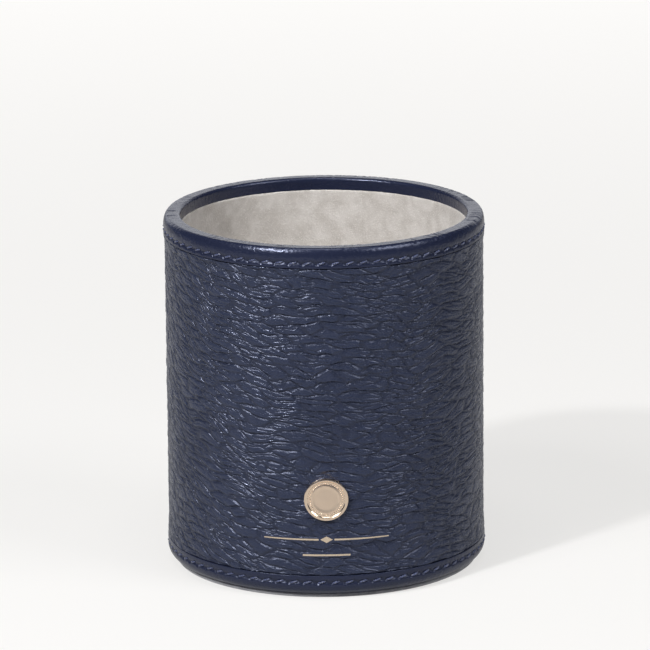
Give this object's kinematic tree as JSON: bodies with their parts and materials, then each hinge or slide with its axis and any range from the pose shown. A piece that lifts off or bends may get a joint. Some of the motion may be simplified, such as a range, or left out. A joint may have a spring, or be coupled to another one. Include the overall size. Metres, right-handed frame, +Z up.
{
  "type": "pen holder cup",
  "caption": "Round desk pen holder cup covered in grained leather, with sewn bands at rim and base, a suede lining, a small metal badge and a foil rule.",
  "frame": {"origin": "middle of the underside, on the table", "axes": "+Z up along the cup's axis, -Y towards the badge, +X to the right as the badge is seen from outside"},
  "size_m": [0.0904, 0.0907, 0.1],
  "materials": {
    "board": "rolled grey-brown board",
    "tape": "thin non-woven stiffener",
    "grained_leather": "navy pebble grain, satin",
    "smooth_leather": "navy smooth grain, soft sheen",
    "thread": "waxed navy thread",
    "suede": "light grey suede, matt nap",
    "cover_suede": "grey suede, matt nap",
    "gilt": "pale gilt, polished border and brushed middle",
    "plated_steel": "plated",
    "foil": "hot-stamped foil"
  },
  "bodies": {
    "root": {"core_tube": "board", "base_board": "board", "base_filler": "board", "rim_tape": "tape", "base_tape": "tape", "outer_wrap": "grained_leather", "rim_band": "smooth_leather", "base_band": "smooth_leather", "rim_stitching": "thread", "base_stitching": "thread", "wall_lining": "suede", "floor_card": "board", "floor_lining": "suede", "base_cover": "cover_suede", "badge_plate": "gilt", "badge_washer": "plated_steel", "foil_mark": "foil"}
  },
  "joints": []
}
